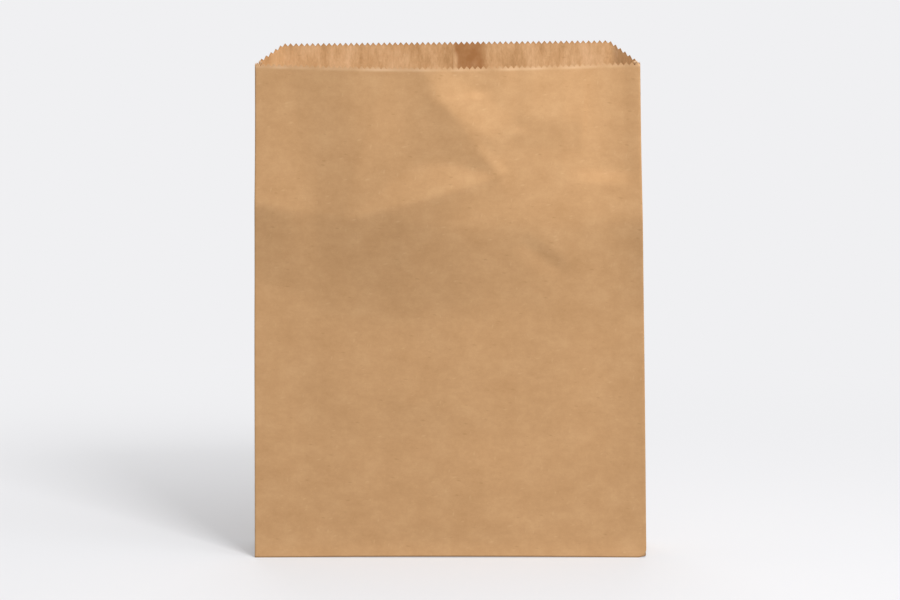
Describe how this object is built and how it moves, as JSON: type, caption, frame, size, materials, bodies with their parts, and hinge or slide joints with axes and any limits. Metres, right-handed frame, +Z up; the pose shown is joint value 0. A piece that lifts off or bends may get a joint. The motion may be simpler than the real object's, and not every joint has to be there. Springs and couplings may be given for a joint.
{
  "type": "paper merchandise bag",
  "caption": "Open kraft paper merchandise bag that stands on a folded block bottom, with side gussets, a lapped back seam and a toothed lip that is higher at the back.",
  "frame": {"origin": "middle of the bag's box at the level it stands on", "axes": "+Z up to the mouth, +X along the front panel to its right as seen from the front, +Y to the back"},
  "size_m": [0.3052, 0.1078, 0.3973],
  "materials": {
    "kraft_paper": "uncoated brown kraft paper, matt, with fine fibres and soft creases"
  },
  "bodies": {
    "root": {"paper_bag": "kraft_paper"}
  },
  "joints": []
}
